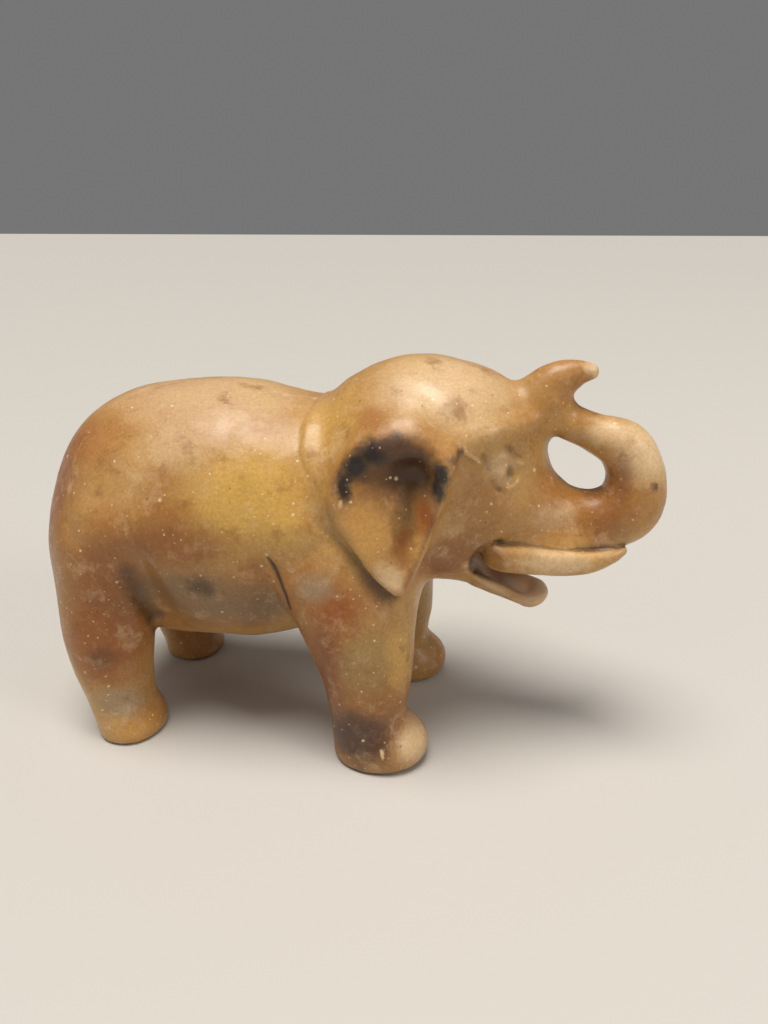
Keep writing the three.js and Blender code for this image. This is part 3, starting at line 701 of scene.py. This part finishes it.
class Graph:
    """A material's nodes, added one at a time and returned as output sockets."""

    def __init__(self, material):
        material.use_nodes = True
        self.tree = material.node_tree
        self.tree.nodes.clear()

    def node(self, kind, **settings):
        made = self.tree.nodes.new("ShaderNode" + kind)
        for name, value in settings.items():
            setattr(made, name, value)
        return made

    def feed(self, socket, value):
        if isinstance(value, bpy.types.NodeSocket):
            self.tree.links.new(value, socket)
        else:
            socket.default_value = value

    def fill(self, node, **values):
        """Feeds sockets by their names, with an underscore for each space."""
        for name, value in values.items():
            self.feed(node.inputs[name.replace("_", " ")], value)

    def math(self, operation, *values, clamp=False):
        made = self.node("Math", operation=operation, use_clamp=clamp)
        for socket, value in zip(made.inputs, values):
            self.feed(socket, value)
        return made.outputs[0]

    def vector(self, operation, *values):
        made = self.node("VectorMath", operation=operation)
        for socket, value in zip(made.inputs, values):
            self.feed(socket, value)
        return made.outputs["Value" if operation in ("LENGTH", "DOT_PRODUCT") else "Vector"]

    def scaled(self, vector, factor):
        made = self.node("VectorMath", operation="SCALE")
        self.fill(made, Vector=vector, Scale=factor)
        return made.outputs["Vector"]

    def ramp(self, value, span, start=0.0, end=1.0):
        """Goes smoothly from start to end while the value goes through the span."""
        made = self.node("MapRange", interpolation_type="SMOOTHSTEP")
        self.fill(made, Value=value, From_Min=span[0], From_Max=span[1], To_Min=start, To_Max=end)
        return made.outputs["Result"]

    def noise(self, vector, size, roughness=NOISE_ROUGHNESS, output="Fac"):
        made = self.node("TexNoise")
        self.fill(made, Vector=vector, Scale=1 / size, Detail=NOISE_DETAIL, Roughness=roughness)
        return made.outputs[output]

    def drifted(self, vector, size, reach):
        """The place, moved about by noise of one size, so that what is drawn there gets a ragged edge."""
        shift = self.noise(vector, size, DRIFT_ROUGHNESS, "Color")
        centred = self.vector("SUBTRACT", shift, NOISE_MIDDLE)
        return self.vector("ADD", vector, self.scaled(centred, reach))

    def voronoi(self, vector, size):
        made = self.node("TexVoronoi")
        self.fill(made, Vector=vector, Scale=1 / size)
        return made.outputs["Distance"], made.outputs["Color"]

    def mix(self, share, first, second):
        made = self.node("Mix", data_type="RGBA", blend_type="MIX")
        for socket, value in zip(MIX_INPUTS, (share, first, second)):
            self.feed(made.inputs[socket], value)
        return made.outputs[MIX_OUTPUT]

    def attribute(self, name):
        return self.node("Attribute", attribute_name=name).outputs["Fac"]

    def spots(self, base, place, rows):
        """Lays oval spots of colour over the base, each fading towards its edge."""
        for tone, middle, radii, strength in rows:
            offset = self.vector("DIVIDE", self.vector("SUBTRACT", place, middle), radii)
            share = self.ramp(self.vector("LENGTH", offset), SPOT_EDGE, strength, 0.0)
            base = self.mix(share, base, tone)
        return base

    def line_gap(self, place, points):
        """How far each place is from a line through the points."""
        nearest = None
        for start, end in zip(points[:-1], points[1:]):
            along = end - start
            offset = self.vector("SUBTRACT", place, tuple(start))
            reached = self.vector("DOT_PRODUCT", offset, tuple(along / (along @ along)))
            share = self.math("ADD", reached, 0.0, clamp=True)
            gap = self.vector("LENGTH", self.vector("SUBTRACT", offset, self.scaled(tuple(along), share)))
            nearest = gap if nearest is None else self.math("MINIMUM", nearest, gap)
        return nearest


def flecked(graph, base, place):
    """Scatters the flecks over the base colour; returns it with how much of each place they cover."""
    cover = 0.0
    for tone, spacing, largest, left_out, strength in FLECKS:
        distance, cell = graph.voronoi(place, spacing)
        chance = graph.node("SeparateColor")
        graph.feed(chance.inputs[0], cell)
        size = graph.ramp(chance.outputs[0], (left_out, 1.0), 0.0, largest)
        share = graph.ramp(graph.math("SUBTRACT", size, distance), FLECK_EDGE, 0.0, strength)
        base = graph.mix(share, base, tone)
        cover = graph.math("MAXIMUM", share, cover)
    return base, cover


def groove_bottom(groove):
    """Points along the bottom of a groove."""
    rows = np.array(groove, float)
    points = settle(rounded_figure, rows[:, :3], SEATING_ROUNDS)
    return points - rows[:, 4:] * outward(rounded_figure, points)


def stone_colour(graph, place):
    """The stone's own colour at each place, and how much of it the flecks cover."""
    ragged = graph.drifted(place, PATCH_DRIFT_SIZE, PATCH_DRIFT)
    clouds = graph.ramp(graph.noise(ragged, CLOUD_SIZE), CLOUD_RANGE)
    base = graph.mix(clouds, HONEY, OCHRE)
    base = graph.spots(base, ragged, PATCHES)
    for size, span, strength, tone in MOTTLES:
        base = graph.mix(graph.ramp(graph.noise(ragged, size), span, 0.0, strength), base, tone)
    base = graph.spots(base, graph.drifted(place, MARK_DRIFT_SIZE, MARK_DRIFT), MARKS)
    return flecked(graph, base, graph.drifted(place, FLECK_DRIFT_SIZE, FLECK_DRIFT))


def shaded_and_worn(graph, base, place):
    """Adds painted shade, with some grime, in the hollows and grooves, paler edges that are partly wear and
    partly painted highlight, painted light inside the lower lip, and painted shade along the creases.
    """
    hollow = graph.attribute("hollow")
    edged = graph.attribute("edged")
    # Painted shade, with some grime, in the hollows; painted shade in the grooves; paler edges, partly wear
    # and partly painted highlight
    for value, (span, strength), tone in (
        (hollow, HOLLOW_SHADE_AND_GRIME, EARTH), (edged, GROOVE_SHADE, EARTH), (edged, WORN_AND_LIT_EDGE, CREAM),
    ):
        base = graph.mix(graph.ramp(value, span, 0.0, strength), base, tone)
    base = graph.spots(base, place, LIP_PALE_AND_LIT)
    folded = graph.vector("MAXIMUM", place, graph.vector("MULTIPLY", place, MIRROR))
    # Painted shade, with some dirt, along the creases
    for groove, edge, strength in CREASE_SHADE_LINES:
        gap = graph.line_gap(folded, groove_bottom(groove))
        base = graph.mix(graph.ramp(gap, edge, strength, 0.0), base, EARTH)
    return base


def soapstone():
    material = bpy.data.materials.new("soapstone")
    graph = Graph(material)
    place = graph.scaled(graph.node("TexCoord").outputs["Object"], 1 / MM)
    base, cover = stone_colour(graph, place)
    grain = graph.noise(place, GRAIN_SIZE)
    tint = graph.node("HueSaturation")
    graph.fill(tint, Color=base, Value=graph.ramp(grain, GRAIN_RANGE, *GRAIN_TONES))
    base = shaded_and_worn(graph, tint.outputs[0], place)

    scratches = graph.noise(graph.vector("MULTIPLY", place, SCRATCH_STRETCH), SCRATCH_SIZE)
    marks = graph.math("ADD", cover, graph.math("MULTIPLY", scratches, SCRATCH_SHARE))
    bump = graph.node("Bump")
    height = graph.math("ADD", grain, marks)
    graph.fill(bump, Strength=BUMP_STRENGTH, Distance=BUMP_HEIGHT * MM, Height=height)
    shader = graph.node("BsdfPrincipled")
    graph.fill(
        shader,
        Base_Color=base,
        Roughness=graph.ramp(graph.noise(place, POLISH_SIZE), POLISH_RANGE, *ROUGHNESS),
        Normal=bump.outputs[0],
        Specular_IOR_Level=SPECULAR,
        Subsurface_Weight=SUBSURFACE,
        Subsurface_Radius=SUBSURFACE_RADIUS,
        Subsurface_Scale=SUBSURFACE_SCALE,
        Coat_Weight=COAT,
        Coat_Roughness=COAT_ROUGHNESS,
    )
    graph.feed(graph.node("OutputMaterial").inputs["Surface"], shader.outputs[0])
    return material


# The studio: a pale floor, soft lights and an even background, in metres
FLOOR_HALF = 6.0
FLOOR_COLOUR = colour(0.55, 0.53, 0.50)
FLOOR_ROUGHNESS = 0.7
AIM = Vector((0.0, 0.0, 0.04))
SIDE_LIGHT = {
    "name": "side_light",
    "place": (-0.55, -0.55, 0.5),
    "size": 0.5,
    "energy": 0.4,
    "color": (1.0, 0.97, 0.93),
}
FRONT_LIGHT = {
    "name": "front_light",
    "place": (0.75, -0.35, 0.55),
    "size": 0.35,
    "energy": 2.0,
    "color": (1.0, 0.95, 0.88),
}
OVERHEAD_ENERGY = 3.4
OVERHEAD_ANGLE = 34
OVERHEAD_TILT = (8, -6, 0)
OVERHEAD_COLOUR = (1.0, 0.95, 0.88)
BACKGROUND = colour(0.60, 0.60, 0.60)
BACKGROUND_STRENGTH = 0.3

# The camera: its place in millimetres, how far it is turned from +Y and tipped down from level, and its lens
CAMERA_PLACE = (34.4, -145.8, 98.0)
CAMERA_YAW = 10.3
CAMERA_PITCH = 20.0
LENS = 28.125
SENSOR = 36.0
CLIP_START = 0.01
LEVEL = 90


def placed(name, data):
    made = bpy.data.objects.new(name, data)
    bpy.context.scene.collection.objects.link(made)
    return made


def studio_floor():
    signs = ((-1, -1), (1, -1), (1, 1), (-1, 1))
    mesh = bpy.data.meshes.new("studio_floor")
    mesh.from_pydata([(FLOOR_HALF * x, FLOOR_HALF * y, 0) for x, y in signs], [], [(0, 1, 2, 3)])
    material = bpy.data.materials.new("pale_floor")
    graph = Graph(material)
    shader = graph.node("BsdfPrincipled")
    graph.fill(shader, Base_Color=FLOOR_COLOUR, Roughness=FLOOR_ROUGHNESS)
    graph.feed(graph.node("OutputMaterial").inputs["Surface"], shader.outputs[0])
    mesh.materials.append(material)
    return placed("studio_floor", mesh)


def soft_light(name, place, size, energy, color):
    data = bpy.data.lights.new(name, "AREA")
    data.shape = "DISK"
    data.size = size
    data.energy = energy
    data.color = color
    light = placed(name, data)
    light.location = place
    light.rotation_euler = (AIM - Vector(place)).to_track_quat("-Z", "Y").to_euler()


def overhead_light():
    data = bpy.data.lights.new("overhead_light", "SUN")
    data.energy = OVERHEAD_ENERGY
    data.angle = np.radians(OVERHEAD_ANGLE)
    data.color = OVERHEAD_COLOUR
    placed("overhead_light", data).rotation_euler = np.radians(OVERHEAD_TILT)


def background():
    world = bpy.data.worlds.new("studio")
    world.use_nodes = True
    shade = world.node_tree.nodes["Background"]
    shade.inputs["Color"].default_value = BACKGROUND
    shade.inputs["Strength"].default_value = BACKGROUND_STRENGTH
    bpy.context.scene.world = world


def camera():
    data = bpy.data.cameras.new("camera")
    data.lens = LENS
    data.sensor_width = SENSOR
    data.clip_start = CLIP_START
    made = placed("camera", data)
    made.location = Vector(CAMERA_PLACE) * MM
    made.rotation_euler = np.radians((LEVEL - CAMERA_PITCH, 0, CAMERA_YAW))
    bpy.context.scene.camera = made


elephant_stone = stone_object()
elephant_stone.data.materials.append(soapstone())
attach(elephant_stone, "root")
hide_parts("elephant")

studio_floor()
soft_light(**SIDE_LIGHT)
soft_light(**FRONT_LIGHT)
overhead_light()
background()
camera()
bpy.context.scene.view_settings.view_transform = "Standard"
